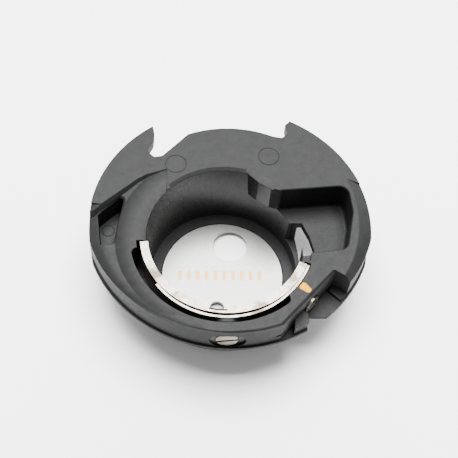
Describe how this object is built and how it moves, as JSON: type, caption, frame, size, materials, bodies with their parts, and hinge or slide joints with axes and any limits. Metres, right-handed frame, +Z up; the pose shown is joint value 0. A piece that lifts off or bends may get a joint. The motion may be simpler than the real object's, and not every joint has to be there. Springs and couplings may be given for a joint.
{
  "type": "drop-in bobbin case",
  "caption": "Round black bobbin case for a horizontal rotary hook, with an open well, curved tension blades, a slotted adjusting screw, a horned guide flange and a steel floor disc.",
  "frame": {"origin": "where the bobbin well's axis meets the underside of the cup, which rests in the hook basket", "axes": "+Z up out of the well, along its axis; -Y towards the tension adjusting screw, along that screw's axis; +X towards the deep side pocket"},
  "size_m": [0.0393, 0.0346, 0.0126],
  "materials": {
    "black_plastic": "fine matt moulded black plastic, glass filled",
    "brushed_plate": "satin stainless steel with a fine mottled grain",
    "blade_steel": "polished spring steel",
    "screw_steel": "turned bright steel",
    "black_steel": "blackened steel",
    "pale_nylon": "pale blue nylon",
    "yellow_paint": "yellow paint in a shallow mark"
  },
  "bodies": {
    "holder": {"holder_body": "black_plastic", "base_plate": "brushed_plate", "inner_blade": "blade_steel", "tension_nut": "black_steel", "clamp_screw": "screw_steel", "index_mark": "yellow_paint"},
    "leaf": {"outer_blade": "blade_steel"},
    "pad": {"pressure_pad": "pale_nylon"},
    "screw": {"tension_screw": "screw_steel"}
  },
  "joints": [
    {"name": "screw_travel", "type": "slide", "parent": "holder", "child": "pad", "axis": [0, -1, 0], "range_m": [-0.00006, 0.0003]},
    {"name": "screw_turn", "type": "hinge", "parent": "pad", "child": "screw", "pos_m": [0, -0.0144, 0.00955], "axis": [0, -1, 0], "range_deg": [-54, 270]},
    {"name": "leaf_flex", "type": "hinge", "parent": "holder", "child": "leaf", "pos_m": [0.00966, -0.00723, 0.00955], "axis": [0, 0, 1], "range_deg": [-0.36, 1.78]}
  ],
  "couplings": [
    {"joint": "screw_turn", "follows": "screw_travel", "rad_per_m": 15705},
    {"joint": "leaf_flex", "follows": "screw_travel", "rad_per_m": 103.5}
  ]
}
